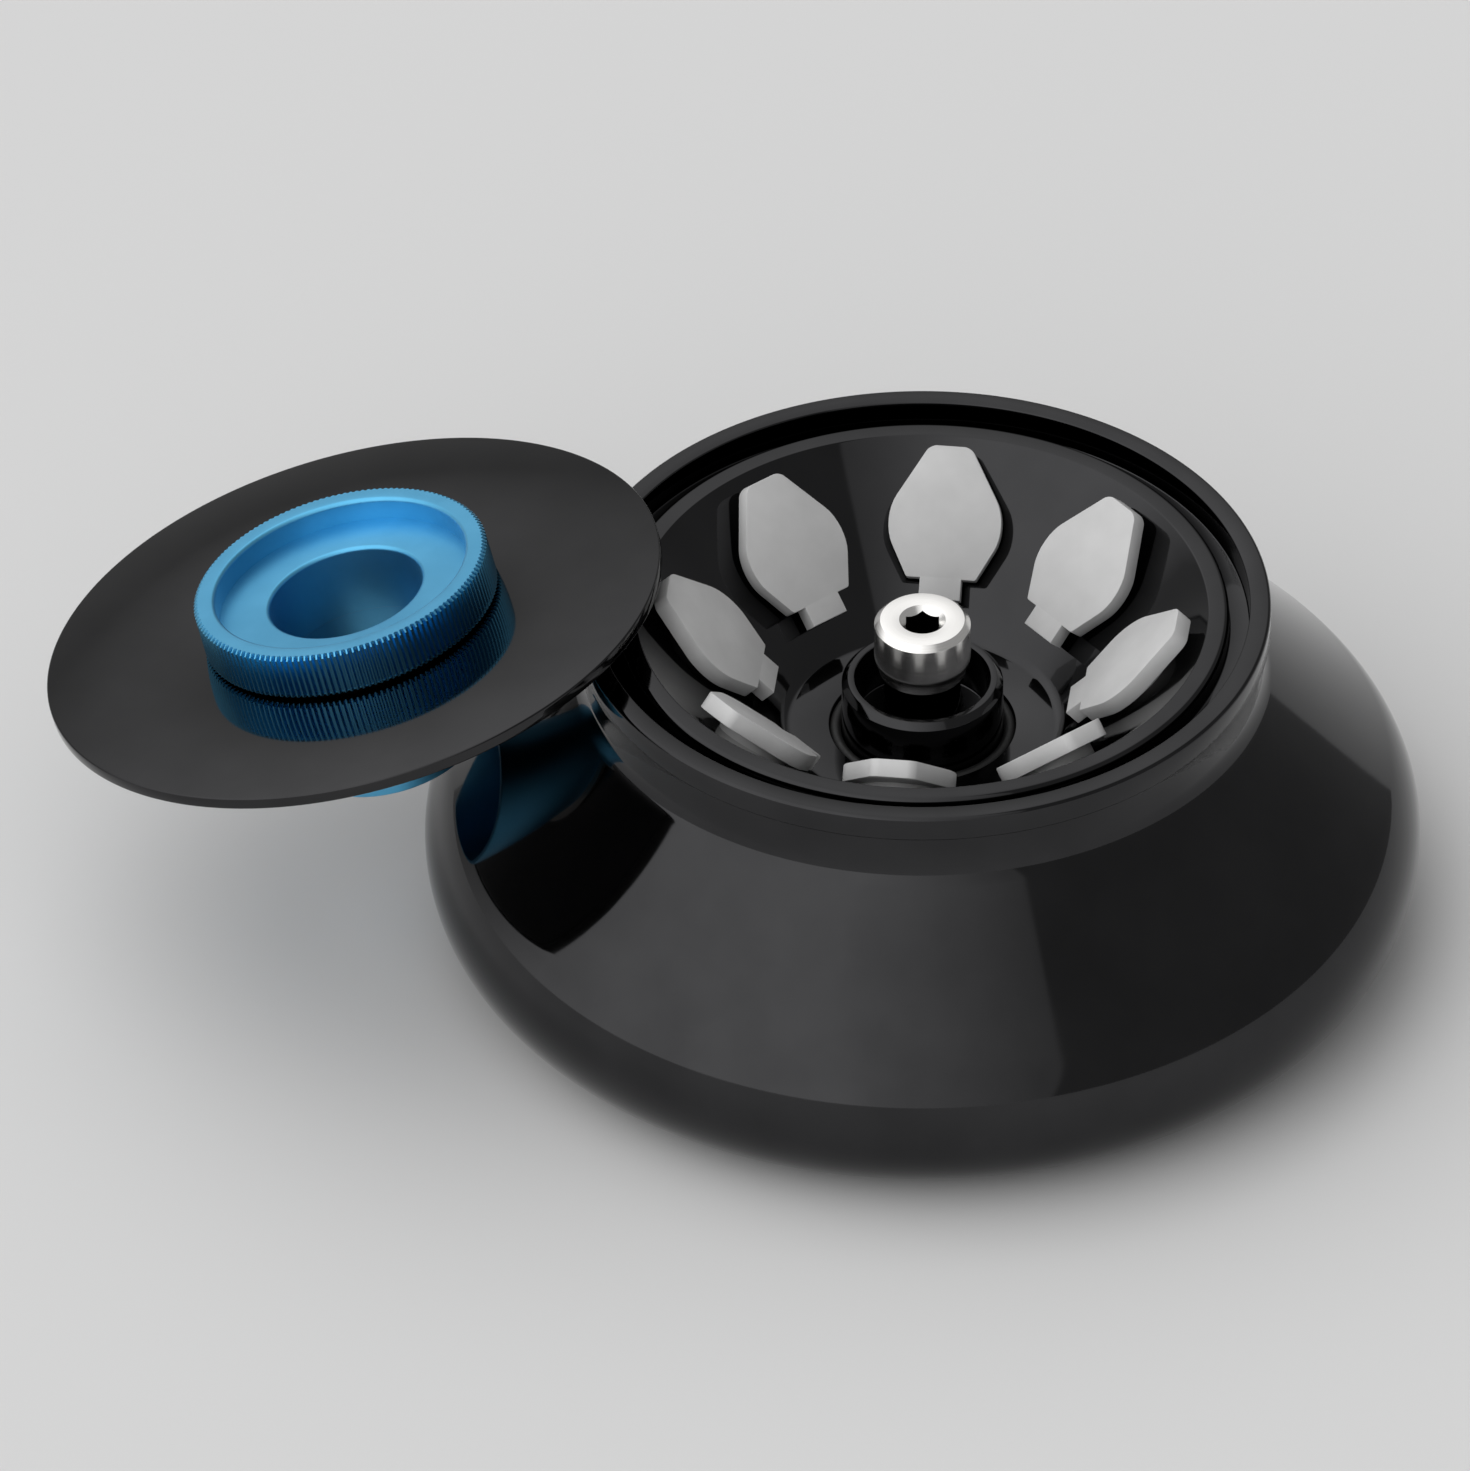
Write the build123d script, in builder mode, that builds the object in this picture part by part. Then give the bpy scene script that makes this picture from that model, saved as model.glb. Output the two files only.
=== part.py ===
from build123d import *

import os
from math import acos, atan2, cos, degrees, radians, sin, tan

# Fixed angle rotor for a laboratory centrifuge, with eight places. The lid is taken off and leans on
# the rim. Millimetres. The origin is on the rotor's axis, in the plane of its base, with +Z up and the
# lid towards -X. Heights in the bowl are measured down from the top of the rim.

# Rotor body: a turned block with a conical bowl
body_r = 120.0  # widest radius, at the bead
body_h = 95.0  # base to the top of the rim
bead_r = 25.4  # rounded lower edge
base_ring_w = 18.6  # flat ring that the body stands on
rim_r = 84.1
rim_h = 6.45
rim_edge = 0.9
rim_wall = 5.1
neck_step = 2.1  # the neck is this much narrower than the rim
neck_h = 12.74  # rim's underside to where the flank's line meets the neck
neck_fillet = 8.0
channel_w = 5.0  # drip channel between rim and lip
channel_depth = 7.3
lip_w = 5.0  # the lid's seat
lip_drop = 2.1
lip_round = 1.4
lip_inner_round = 0.6
bowl_depth = 36.3
floor_r = 33.4
foot_round = 4.0  # where the cone meets the bowl's floor
web_t = 10.7  # floor of the bowl
pocket_wall = 4.5  # metal left between the pockets and the hollow underneath

# Places: one pocket and one insert each
place_count = 8
first_place = -6.4  # degrees from +X
place_tilt = 45.3  # angle between a pocket's axis and the rotor's axis
place_r = 48.2  # where a pocket's axis leaves the insert's face
flange_t = 4.4
flange_lift = 2.15  # gap between the cone and the back of the flange
flange_top = 19.1  # outline of the flange, from the pocket's axis
flange_top_half = 5.0
flange_shoulder = 0.5
flange_shoulder_half = 15.6
flange_shoulder_round = 14.0
flange_bottom = 13.2
flange_bottom_half = 8.4
flange_corner = 1.6
flange_foot_corner = 0.8
stem_half = 5.05
stem_l = 5.1
plug_r = 9.3
plug_l = 57.6  # back of the flange to the centre of the plug's round end
plug_clearance = 0.2

# Drive hub: collar in the bowl, flange and drive bore underneath
collar_r = 19.5
collar_wall = 3.1
collar_h = 14.1  # above the bowl's floor
collar_chamfer = 1.5
hub_fit = 0.05  # clearance of parts that are pressed or bolted together
recess_depth = 12.8
seat_boss_r = 9.2  # inner boss that the tie-down screw's head bears on
hub_flange_r = 31.0
hub_flange_t = 8.0
spindle_boss_r = 17.0
drive_bore_r = 8.0
drive_bore_l = 24.0
relief_r = 9.0
hub_web_t = 14.0
groove_w = 3.0  # O-ring groove round the collar
groove_depth = 3.0
hub_seal_r = 1.4

# Fasteners under the hub's flange
fastener_circle_r = 25.5
hub_screw_count = 6
hub_screw_r = 2.5
hub_screw_grip = 6.5  # length in the body
hub_screw_head_r = 4.2
hub_screw_head_h = 5.0
hub_screw_hex = 4.0
hub_screw_socket = 3.0
drive_pin_count = 2
drive_pin_r = 3.0
drive_pin_l = 18.0
drive_pin_seat = 6.0  # length in the flange
drive_pin_chamfer = 0.6
hole_clearance = 0.25
hole_end = 1.0  # a blind hole is this much deeper than what it holds

# Tie-down screw
head_drop = 4.5  # top of the head below the rim
head_r = 11.66
head_h = 15.3
head_chamfer = 1.43
head_foot_h = 4.2
head_foot_r = 10.3
head_foot_round = 4.2
socket_hex = 8.0
socket_depth = 7.5
socket_mouth_r = 5.6
socket_mouth_h = 1.0
shank_r = 5.0
shank_l = 44.0
thread_l = 12.0
thread_relief = 0.4
thread_chamfer = 0.8
running_clearance = 0.08
end_play = 0.15
clip_t = 1.2
clip_groove = 0.5
clip_w = 3.2
clip_gap = 50.0  # opening of the ring, in degrees

# Lid, in its own frame: its top face is at 0 and its axis leans away from the rotor's
lid_x = -137.23
lid_y = 6.8
lid_drop = 9.47  # below the top of the rim
lid_lean = 15.73
lid_lean_towards = 157.92  # direction of the lean, in degrees from +X
lid_r = 76.4
lid_t = 3.0
lid_edge = 0.4
lid_seal_pos_r = 71.5
lid_seal_r = 0.9
lid_seal_proud = 0.4
seal_clearance = 0.04

# Knob and tube, one turned piece
knob_r = 36.5
knob_gap = 2.3  # undercut between the lid and the knurled ring
knob_h = 11.1
knob_dish_r = 31.2
knob_dish_depth = 5.7
knob_dish_round = 0.3
knob_hole_r = 19.0
knob_edge = 1.0
tooth_count = 150
tooth_depth = 0.9
tooth_land = 0.3  # share of the pitch at the tip, and at the root
tooth_chamfer = 0.8
knob_core_step = 0.9  # the toothed ring starts this far inside the teeth's roots
tube_r = 21.2
tube_bore_r = 19.8
tube_l = 38.0  # below the lid's top face
tube_step = 10.0  # where the knob's hole widens into the tube's bore
washer_r = 33.0
washer_play = 0.2
lid_clip_t = 1.5
lid_clip_w = 3.8
lid_clip_gap = 25.0  # opening of the ring, in degrees

# Worked out from the above
rim_in_r = rim_r - rim_wall
lip_out_r = rim_in_r - channel_w
lip_in_r = lip_out_r - lip_w
lip_z = body_h - lip_drop
channel_z = body_h - channel_depth
floor_z = body_h - bowl_depth
neck_r = rim_r - neck_step
cone_slope = (lip_z - floor_z) / (lip_in_r - floor_r)
bead_centre_r = body_r - bead_r
flank_top_z = body_h - rim_h - neck_h
neck_from_bead = Vector(neck_r - bead_centre_r, flank_top_z - bead_r)
tangent_angle = atan2(neck_from_bead.Y, neck_from_bead.X) - acos(bead_r / neck_from_bead.length)
flank_r = bead_centre_r + bead_r * cos(tangent_angle)  # where the flank runs into the bead
flank_z = bead_r + bead_r * sin(tangent_angle)
base_in_r = bead_centre_r - base_ring_w
web_z = floor_z - web_t
groove_r = collar_r + groove_w
groove_z = floor_z - groove_depth
hub_bore_r = collar_r + hub_fit

cone_lift = (flange_lift + flange_t) * (1 + cone_slope**2) ** 0.5
place_z = floor_z + (place_r - floor_r) * cone_slope + cone_lift
pocket_r = plug_r + plug_clearance
hollow_offset = pocket_r + pocket_wall
hollow_r = place_r - hollow_offset * cos(radians(place_tilt))
hollow_z = place_z - hollow_offset * sin(radians(place_tilt))
hollow_top_r = hollow_r + (hollow_z - web_z) * tan(radians(place_tilt))
hollow_side_z = hollow_z - (base_in_r - hollow_r) / tan(radians(place_tilt))

collar_z = floor_z + collar_h
collar_in_r = collar_r - collar_wall
recess_z = collar_z - recess_depth
relief_z = recess_z - hub_web_t
hub_flange_z = web_z - hub_flange_t
head_z = body_h - head_drop
head_foot_z = head_z - head_h
seat_z = head_foot_z - end_play
shank_hole_r = shank_r + running_clearance

lid_centre = Vector(lid_x, lid_y, body_h - lid_drop)
lid_normal = Vector(0, 0, 1).rotate(Axis.Y, lid_lean).rotate(Axis.Z, lid_lean_towards)
lid_side = Vector(1, 0, 0).rotate(Axis.Y, lid_lean).rotate(Axis.Z, lid_lean_towards)
lid_plane = Plane(origin=lid_centre, x_dir=lid_side, z_dir=lid_normal)
lid_section = Plane(origin=lid_centre, x_dir=lid_side, z_dir=-lid_plane.y_dir)
lid_axis = Axis(lid_centre, lid_normal)
knob_top = knob_gap + knob_h
knob_core_r = knob_r - tooth_depth - knob_core_step
dish_z = knob_top - knob_dish_depth
lid_hole_r = tube_r + running_clearance
lid_clip_top = -lid_t - end_play


def place_plane(angle):
    """Plane of an insert's face: local X runs round the rotor, local Y up the slope."""
    a, tilt = radians(angle), radians(place_tilt)
    return Plane(
        origin=(place_r * cos(a), place_r * sin(a), place_z),
        x_dir=(sin(a), -cos(a), 0),
        z_dir=(-sin(tilt) * cos(a), -sin(tilt) * sin(a), cos(tilt)),
    )


def corner(sketch, x, y):
    """The sketch's vertex nearest to a point."""
    return sketch.vertices().sort_by_distance((x, y, 0))[0]


def save(part, name):
    """Label a finished piece and write it to its own file."""
    part.label = name
    export_step(part, f"parts/{name}.step")


place_angles = [first_place + i * 360 / place_count for i in range(place_count)]
drive_pin_start = 180 / hub_screw_count  # halfway between two screws
os.makedirs("parts", exist_ok=True)

# Rotor body
with BuildPart() as rotor_body:
    with BuildSketch(Plane.XZ) as body_section:
        with BuildLine():
            Polyline(
                (bead_centre_r, 0),
                (base_in_r, 0),
                (base_in_r, hollow_side_z),
                (hollow_top_r, web_z),
                (hub_bore_r, web_z),
                (hub_bore_r, groove_z),
                (groove_r, groove_z),
                (groove_r, floor_z),
                (floor_r, floor_z),
                (lip_in_r, lip_z),
                (lip_out_r, lip_z),
                (lip_out_r, channel_z),
                (rim_in_r, channel_z),
                (rim_in_r, body_h),
                (rim_r, body_h),
                (rim_r, body_h - rim_h),
                (neck_r, body_h - rim_h),
                (neck_r, flank_top_z),
                (flank_r, flank_z),
            )
            CenterArc(
                (bead_centre_r, bead_r),
                bead_r,
                start_angle=-90,
                arc_size=90 + degrees(tangent_angle),
            )
        make_face()
        fillet(corner(body_section, rim_r, body_h), radius=rim_edge)
        fillet(corner(body_section, neck_r, flank_top_z), radius=neck_fillet)
        fillet(corner(body_section, lip_out_r, lip_z), radius=lip_round)
        fillet(corner(body_section, lip_in_r, lip_z), radius=lip_inner_round)
        fillet(corner(body_section, floor_r, floor_z), radius=foot_round)
    revolve(axis=Axis.Z)
    for angle in place_angles:
        face_plane = place_plane(angle)
        with BuildSketch(face_plane):
            Circle(pocket_r)
        extrude(amount=-(flange_t + plug_l), mode=Mode.SUBTRACT)
        with Locations(face_plane.offset(-(flange_t + plug_l))):
            Sphere(pocket_r, mode=Mode.SUBTRACT)
    with BuildSketch(Plane.XY.offset(web_z)):
        with PolarLocations(fastener_circle_r, hub_screw_count):
            Circle(hub_screw_r + hub_fit)
    extrude(amount=hub_screw_grip + hole_end, mode=Mode.SUBTRACT)
save(rotor_body.part, "rotor_body")

# Drive hub
with BuildPart() as drive_hub:
    with BuildSketch(Plane.XZ) as hub_section:
        with BuildLine():
            Polyline(
                (drive_bore_r, 0),
                (spindle_boss_r, 0),
                (spindle_boss_r, hub_flange_z),
                (hub_flange_r, hub_flange_z),
                (hub_flange_r, web_z),
                (collar_r, web_z),
                (collar_r, collar_z),
                (collar_in_r, collar_z),
                (collar_in_r, recess_z),
                (seat_boss_r, recess_z),
                (seat_boss_r, seat_z),
                (shank_hole_r, seat_z),
                (shank_hole_r, relief_z),
                (relief_r, relief_z),
                (relief_r, drive_bore_l),
                (drive_bore_r, drive_bore_l),
                close=True,
            )
        make_face()
        chamfer(corner(hub_section, collar_r, collar_z), length=collar_chamfer)
    revolve(axis=Axis.Z)
    with BuildSketch(Plane.XY.offset(hub_flange_z)):
        with PolarLocations(fastener_circle_r, hub_screw_count):
            Circle(hub_screw_r + hole_clearance)
    extrude(amount=hub_flange_t, mode=Mode.SUBTRACT)
    with BuildSketch(Plane.XY.offset(hub_flange_z)):
        with PolarLocations(fastener_circle_r, drive_pin_count, start_angle=drive_pin_start):
            Circle(drive_pin_r + hub_fit)
    extrude(amount=drive_pin_seat, mode=Mode.SUBTRACT)
save(drive_hub.part, "drive_hub")

# O-ring round the collar's foot
with BuildPart() as hub_seal:
    with BuildSketch(Plane.XZ):
        with Locations((collar_r + groove_w / 2, groove_z + hub_seal_r)):
            Circle(hub_seal_r)
    revolve(axis=Axis.Z)
save(hub_seal.part, "hub_seal")

# Socket screws that hold the hub, as one group
with BuildPart() as hub_screws:
    with BuildSketch(Plane.XY.offset(hub_flange_z)):
        with PolarLocations(fastener_circle_r, hub_screw_count):
            Circle(hub_screw_r)
    extrude(amount=hub_flange_t + hub_screw_grip)
    with BuildSketch(Plane.XY.offset(hub_flange_z)):
        with PolarLocations(fastener_circle_r, hub_screw_count):
            Circle(hub_screw_head_r)
    extrude(amount=-hub_screw_head_h)
    with BuildSketch(Plane.XY.offset(hub_flange_z - hub_screw_head_h)):
        with PolarLocations(fastener_circle_r, hub_screw_count):
            RegularPolygon(hub_screw_hex / 2, 6, major_radius=False)
    extrude(amount=hub_screw_socket, mode=Mode.SUBTRACT)
save(hub_screws.part, "hub_screws")

# Dowels that the motor's carrier drives, as one group
with BuildPart() as drive_pins:
    with BuildSketch(Plane.XY.offset(hub_flange_z + drive_pin_seat)):
        with PolarLocations(fastener_circle_r, drive_pin_count, start_angle=drive_pin_start):
            Circle(drive_pin_r)
    extrude(amount=-drive_pin_l)
    chamfer(drive_pins.edges().group_by(Axis.Z)[0], length=drive_pin_chamfer)
save(drive_pins.part, "drive_pins")

# Tie-down screw
screw_end_z = head_foot_z - shank_l
screw_clip_top = relief_z - end_play
with BuildPart() as tie_down_screw:
    with BuildSketch(Plane.XZ) as screw_section:
        with BuildLine():
            Polyline(
                (0, head_z),
                (head_r, head_z),
                (head_r, head_foot_z + head_foot_h),
                (head_foot_r, head_foot_z),
                (shank_r, head_foot_z),
                (shank_r, screw_clip_top),
                (shank_r - clip_groove, screw_clip_top),
                (shank_r - clip_groove, screw_clip_top - clip_t),
                (shank_r - thread_relief, screw_clip_top - clip_t),
                (shank_r - thread_relief, screw_end_z + thread_l),
                (shank_r, screw_end_z + thread_l),
                (shank_r, screw_end_z),
                (0, screw_end_z),
                close=True,
            )
        make_face()
        chamfer(corner(screw_section, head_r, head_z), length=head_chamfer)
        chamfer(corner(screw_section, shank_r, screw_end_z), length=thread_chamfer)
        fillet(corner(screw_section, head_r, head_foot_z + head_foot_h), radius=head_foot_round)
    revolve(axis=Axis.Z)
    with BuildSketch(Plane.XY.offset(head_z)):
        RegularPolygon(socket_hex / 2, 6, major_radius=False)
    extrude(amount=-socket_depth, mode=Mode.SUBTRACT)
    with BuildSketch(Plane.XZ):
        with BuildLine():
            Polyline(
                (0, head_z),
                (socket_mouth_r, head_z),
                (socket_mouth_r - socket_mouth_h, head_z - socket_mouth_h),
                (0, head_z - socket_mouth_h),
                close=True,
            )
        make_face()
    revolve(axis=Axis.Z, mode=Mode.SUBTRACT)
save(tie_down_screw.part, "tie_down_screw")

# Retaining ring that keeps the screw captive
with BuildPart() as screw_clip:
    with BuildSketch(Plane.XY.offset(screw_clip_top)):
        Circle(shank_r - clip_groove + clip_w)
        Circle(shank_r - clip_groove, mode=Mode.SUBTRACT)
        with BuildLine():
            far = shank_r + clip_w
            Polyline(
                (0, 0),
                (far, -far * tan(radians(clip_gap / 2))),
                (far, far * tan(radians(clip_gap / 2))),
                close=True,
            )
        make_face(mode=Mode.SUBTRACT)
    extrude(amount=-clip_t)
save(screw_clip.part, "screw_clip")

# Pocket inserts: a flat paddle-shaped flange on a round plug
flange_half = [
    (flange_top_half, flange_top),
    (flange_shoulder_half, flange_shoulder),
    (flange_bottom_half, -flange_bottom),
    (stem_half, -flange_bottom),
    (stem_half, -flange_bottom - stem_l),
]
flange_outline = flange_half + [(-x, y) for x, y in reversed(flange_half)]
for number, angle in enumerate(place_angles, start=1):
    face_plane = place_plane(angle)
    with BuildPart() as pocket_insert:
        with BuildSketch(face_plane) as flange:
            with BuildLine():
                Polyline(*flange_outline, close=True)
            make_face()
            for side in (-1, 1):
                fillet(corner(flange, side * flange_top_half, flange_top), radius=flange_corner)
                fillet(
                    corner(flange, side * flange_shoulder_half, flange_shoulder),
                    radius=flange_shoulder_round,
                )
                fillet(
                    corner(flange, side * flange_bottom_half, -flange_bottom),
                    radius=flange_foot_corner,
                )
        extrude(amount=-flange_t)
        with BuildSketch(face_plane.offset(-flange_t)):
            Circle(plug_r)
        extrude(amount=-plug_l)
        with Locations(face_plane.offset(-flange_t - plug_l)):
            Sphere(plug_r)
    save(pocket_insert.part, f"pocket_insert_{number}")

# Lid disc, with the groove of its seal underneath
lid_groove_half = lid_seal_r + seal_clearance
lid_seal_centre = lid_seal_r - lid_t - lid_seal_proud
with BuildPart() as lid_disc:
    with BuildSketch(lid_section) as lid_profile:
        with BuildLine():
            Polyline((lid_hole_r, -lid_t), (lid_r, -lid_t), (lid_r, 0), (lid_hole_r, 0), close=True)
        make_face()
        fillet(corner(lid_profile, lid_r, 0), radius=lid_edge)
        fillet(corner(lid_profile, lid_r, -lid_t), radius=lid_edge)
        with BuildLine():
            groove_top = lid_seal_centre + lid_groove_half
            Polyline(
                (lid_seal_pos_r - lid_groove_half, -lid_t),
                (lid_seal_pos_r - lid_groove_half, groove_top),
                (lid_seal_pos_r + lid_groove_half, groove_top),
                (lid_seal_pos_r + lid_groove_half, -lid_t),
                close=True,
            )
        make_face(mode=Mode.SUBTRACT)
    revolve(axis=lid_axis)
save(lid_disc.part, "lid_disc")

with BuildPart() as lid_seal:
    with BuildSketch(lid_section):
        with Locations((lid_seal_pos_r, lid_seal_centre)):
            Circle(lid_seal_r)
    revolve(axis=lid_axis)
save(lid_seal.part, "lid_seal")

# Knob and tube: a revolved core with the knurled ring added round it
tooth_pitch = 360 / tooth_count
tooth_flank = tooth_pitch * (1 - 2 * tooth_land) / 2
tooth_outline = []
for i in range(tooth_count):
    start = i * tooth_pitch
    tip = (start, start + tooth_pitch * tooth_land)
    root = (tip[1] + tooth_flank, start + tooth_pitch - tooth_flank)
    for r, ends in ((knob_r, tip), (knob_r - tooth_depth, root)):
        tooth_outline += [(r * cos(radians(a)), r * sin(radians(a))) for a in ends]

with BuildPart() as lid_knob:
    with BuildSketch(lid_section) as knob_section:
        with BuildLine():
            Polyline(
                (knob_hole_r, dish_z),
                (knob_dish_r, dish_z),
                (knob_dish_r, knob_top),
                (knob_core_r, knob_top),
                (knob_core_r, knob_gap),
                (tube_r, knob_gap),
                (tube_r, lid_clip_top),
                (tube_r - clip_groove, lid_clip_top),
                (tube_r - clip_groove, lid_clip_top - lid_clip_t),
                (tube_r, lid_clip_top - lid_clip_t),
                (tube_r, -tube_l),
                (tube_bore_r, -tube_l),
                (tube_bore_r, -tube_step),
                (knob_hole_r, -tube_step),
                close=True,
            )
        make_face()
        fillet(corner(knob_section, knob_dish_r, dish_z), radius=knob_dish_round)
        fillet(corner(knob_section, knob_dish_r, knob_top), radius=knob_edge)
        fillet(corner(knob_section, knob_hole_r, dish_z), radius=knob_edge)
    revolve(axis=lid_axis)
    with BuildSketch(lid_plane.offset(knob_gap)):
        with BuildLine():
            Polyline(*tooth_outline, close=True)
        make_face()
        Circle(knob_core_r, mode=Mode.SUBTRACT)
    extrude(amount=knob_h)
    with BuildSketch(lid_section):
        cut_r = knob_r + tooth_chamfer
        for end_z, out in ((knob_top, tooth_chamfer), (knob_gap, -tooth_chamfer)):
            with BuildLine():
                Polyline(
                    (knob_r - 2 * tooth_chamfer, end_z + out),
                    (cut_r, end_z + out),
                    (cut_r, end_z - 2 * out),
                    close=True,
                )
            make_face()
    revolve(axis=lid_axis, mode=Mode.SUBTRACT)
save(lid_knob.part, "lid_knob")

# Slip washer between knob and lid
with BuildPart() as knob_washer:
    with BuildSketch(lid_plane):
        Circle(washer_r)
        Circle(lid_hole_r + washer_play, mode=Mode.SUBTRACT)
    extrude(amount=knob_gap - washer_play)
save(knob_washer.part, "knob_washer")

# Retaining ring on the tube, under the lid
with BuildPart() as lid_clip:
    with BuildSketch(lid_plane.offset(lid_clip_top)):
        Circle(tube_r - clip_groove + lid_clip_w)
        Circle(tube_r - clip_groove, mode=Mode.SUBTRACT)
        with BuildLine():
            far = tube_r + lid_clip_w
            Polyline(
                (0, 0),
                (far, -far * tan(radians(lid_clip_gap / 2))),
                (far, far * tan(radians(lid_clip_gap / 2))),
                close=True,
            )
        make_face(mode=Mode.SUBTRACT)
    extrude(amount=-lid_clip_t)
save(lid_clip.part, "lid_clip")
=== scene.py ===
from math import atan2, cos, pi, radians, sin, tan

import bmesh
import bpy
from mathutils import Matrix, Vector


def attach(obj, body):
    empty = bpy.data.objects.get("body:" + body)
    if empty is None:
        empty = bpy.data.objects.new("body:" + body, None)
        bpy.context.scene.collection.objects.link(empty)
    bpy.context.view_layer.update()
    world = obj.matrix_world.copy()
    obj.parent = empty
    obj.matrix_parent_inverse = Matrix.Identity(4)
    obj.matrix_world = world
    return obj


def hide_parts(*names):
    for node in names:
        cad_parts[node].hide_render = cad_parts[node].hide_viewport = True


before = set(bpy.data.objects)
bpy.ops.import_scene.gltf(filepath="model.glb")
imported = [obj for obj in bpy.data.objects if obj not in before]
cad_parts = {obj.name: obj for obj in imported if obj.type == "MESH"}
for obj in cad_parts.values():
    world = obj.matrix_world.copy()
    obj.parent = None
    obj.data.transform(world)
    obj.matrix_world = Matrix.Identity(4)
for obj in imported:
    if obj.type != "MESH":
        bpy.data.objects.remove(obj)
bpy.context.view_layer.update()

mm = 0.001  # the script works in millimetres, the scene in metres
creaseAngle = radians(32)  # edges sharper than this stay sharp
mergeDistance = 1e-7
noiseRange = (0.3, 0.7)  # where nearly all values of a noise texture lie


def linear(hexColour):
    # sRGB hex to the linear values that a shader takes
    parts = [int(hexColour[i:i + 2], 16) / 255 for i in (1, 3, 5)]
    return [p / 12.92 if p <= 0.04045 else ((p + 0.055) / 1.055) ** 2.4 for p in parts] + [1.0]


def addNode(tree, kind, inputs=None, **settings):
    # adds a node, sets it up, and fills or links its inputs
    node = tree.nodes.new(kind)
    for name, value in settings.items():
        setattr(node, name, value)
    for name, value in (inputs or {}).items():
        if isinstance(value, bpy.types.NodeSocket):
            tree.links.new(value, node.inputs[name])
        else:
            node.inputs[name].default_value = value
    return node


def newMaterial(name):
    material = bpy.data.materials.new(name)
    material.use_nodes = True
    tree = material.node_tree
    tree.nodes.clear()
    return material, tree


def finishMaterial(tree, shader):
    addNode(tree, "ShaderNodeOutputMaterial", {"Surface": shader.outputs["BSDF"]})


# The lid's own frame: its top face is at 0 and its axis leans away from the rotor's
lidPlace = {"centreMm": (-137.23, 6.8, 85.53), "lean": 15.73, "leanTowards": 157.92}
lidTurn = (0.0, radians(lidPlace["lean"]), radians(lidPlace["leanTowards"]))


def axisPlace(tree, onLid):
    # the point, measured from the axis that the piece was turned on
    place = addNode(tree, "ShaderNodeTexCoord").outputs["Object"]
    if not onLid:
        return place
    centre = [value * mm for value in lidPlace["centreMm"]]
    moved = addNode(tree, "ShaderNodeMapping", {"Vector": place, "Location": centre, "Rotation": lidTurn},
                    vector_type="TEXTURE")
    return moved.outputs["Vector"]


def patches(tree, place, sizeMm, detail=3.0):
    # soft uneven patches about this large
    noise = addNode(tree, "ShaderNodeTexNoise",
                    {"Vector": place, "Scale": 1 / (sizeMm * mm), "Detail": detail})
    return noise.outputs["Fac"]


def turningMarks(tree, place, spacingMm):
    # fine rings that a lathe tool leaves, the same all the way round the axis
    parts = addNode(tree, "ShaderNodeSeparateXYZ", {"Vector": place})
    flat = addNode(tree, "ShaderNodeCombineXYZ", {"X": parts.outputs["X"], "Y": parts.outputs["Y"]})
    out = addNode(tree, "ShaderNodeVectorMath", {0: flat.outputs["Vector"]}, operation="LENGTH")
    line = addNode(tree, "ShaderNodeCombineXYZ", {"X": out.outputs["Value"], "Z": parts.outputs["Z"]})
    return patches(tree, line.outputs["Vector"], spacingMm, detail=2.0)


def spread(tree, value, low, high):
    # a noise value, spread between low and high
    least, most = noiseRange
    ranged = addNode(tree, "ShaderNodeMapRange",
                     {"Value": value, "From Min": least, "From Max": most, "To Min": low, "To Max": high})
    return ranged.outputs["Result"]


def tint(tree, value, low, high):
    # a colour between two hex colours
    mix = addNode(tree, "ShaderNodeMix",
                  {"Factor": spread(tree, value, 0.0, 1.0), "A": linear(low), "B": linear(high)},
                  data_type="RGBA")
    return mix.outputs["Result"]


def relief(tree, value, heightMm, strength):
    bump = addNode(tree, "ShaderNodeBump",
                   {"Height": value, "Distance": heightMm * mm, "Strength": strength})
    return bump.outputs["Normal"]


# Aluminium alloy, turned, hard anodised black and polished: a very dark metal, black in the shade,
# with a clear mirror in which only a trace of the turning marks is left
anodisedBlack = {"deep": "#363637", "pale": "#3b3b3c", "patchMm": 22.0, "roughness": (0.045, 0.075),
                 "ringMm": 0.9, "ringHeightMm": 0.0005, "ringStrength": 0.5}


def makeAnodisedBlack(name, onLid=False, gloss=1.0):
    material, tree = newMaterial(name)
    place = axisPlace(tree, onLid)
    haze = patches(tree, place, anodisedBlack["patchMm"])
    rings = turningMarks(tree, place, anodisedBlack["ringMm"])
    low, high = anodisedBlack["roughness"]
    shader = addNode(tree, "ShaderNodeBsdfPrincipled",
                     {"Base Color": tint(tree, haze, anodisedBlack["deep"], anodisedBlack["pale"]),
                      "Metallic": 1.0, "Roughness": spread(tree, haze, low * gloss, high * gloss),
                      "Normal": relief(tree, rings, anodisedBlack["ringHeightMm"],
                                       anodisedBlack["ringStrength"])})
    finishMaterial(tree, shader)
    return material


# Aluminium alloy, blasted with fine glass beads and anodised light blue: a coloured metal with a
# silky, slightly grainy sheen, and the sealed oxide's own faint colourless one over it
anodisedBlue = {"deep": "#58aed8", "pale": "#60b6e0", "patchMm": 9.0, "roughness": (0.38, 0.46),
                "grainMm": 0.3,  # the real grain is 0.1 mm, drawn coarser so that it shows
                "grainHeightMm": 0.003, "grainStrength": 0.3, "ringMm": 0.5,
               "oxide": 0.35, "oxideRoughness": 0.35}


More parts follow.
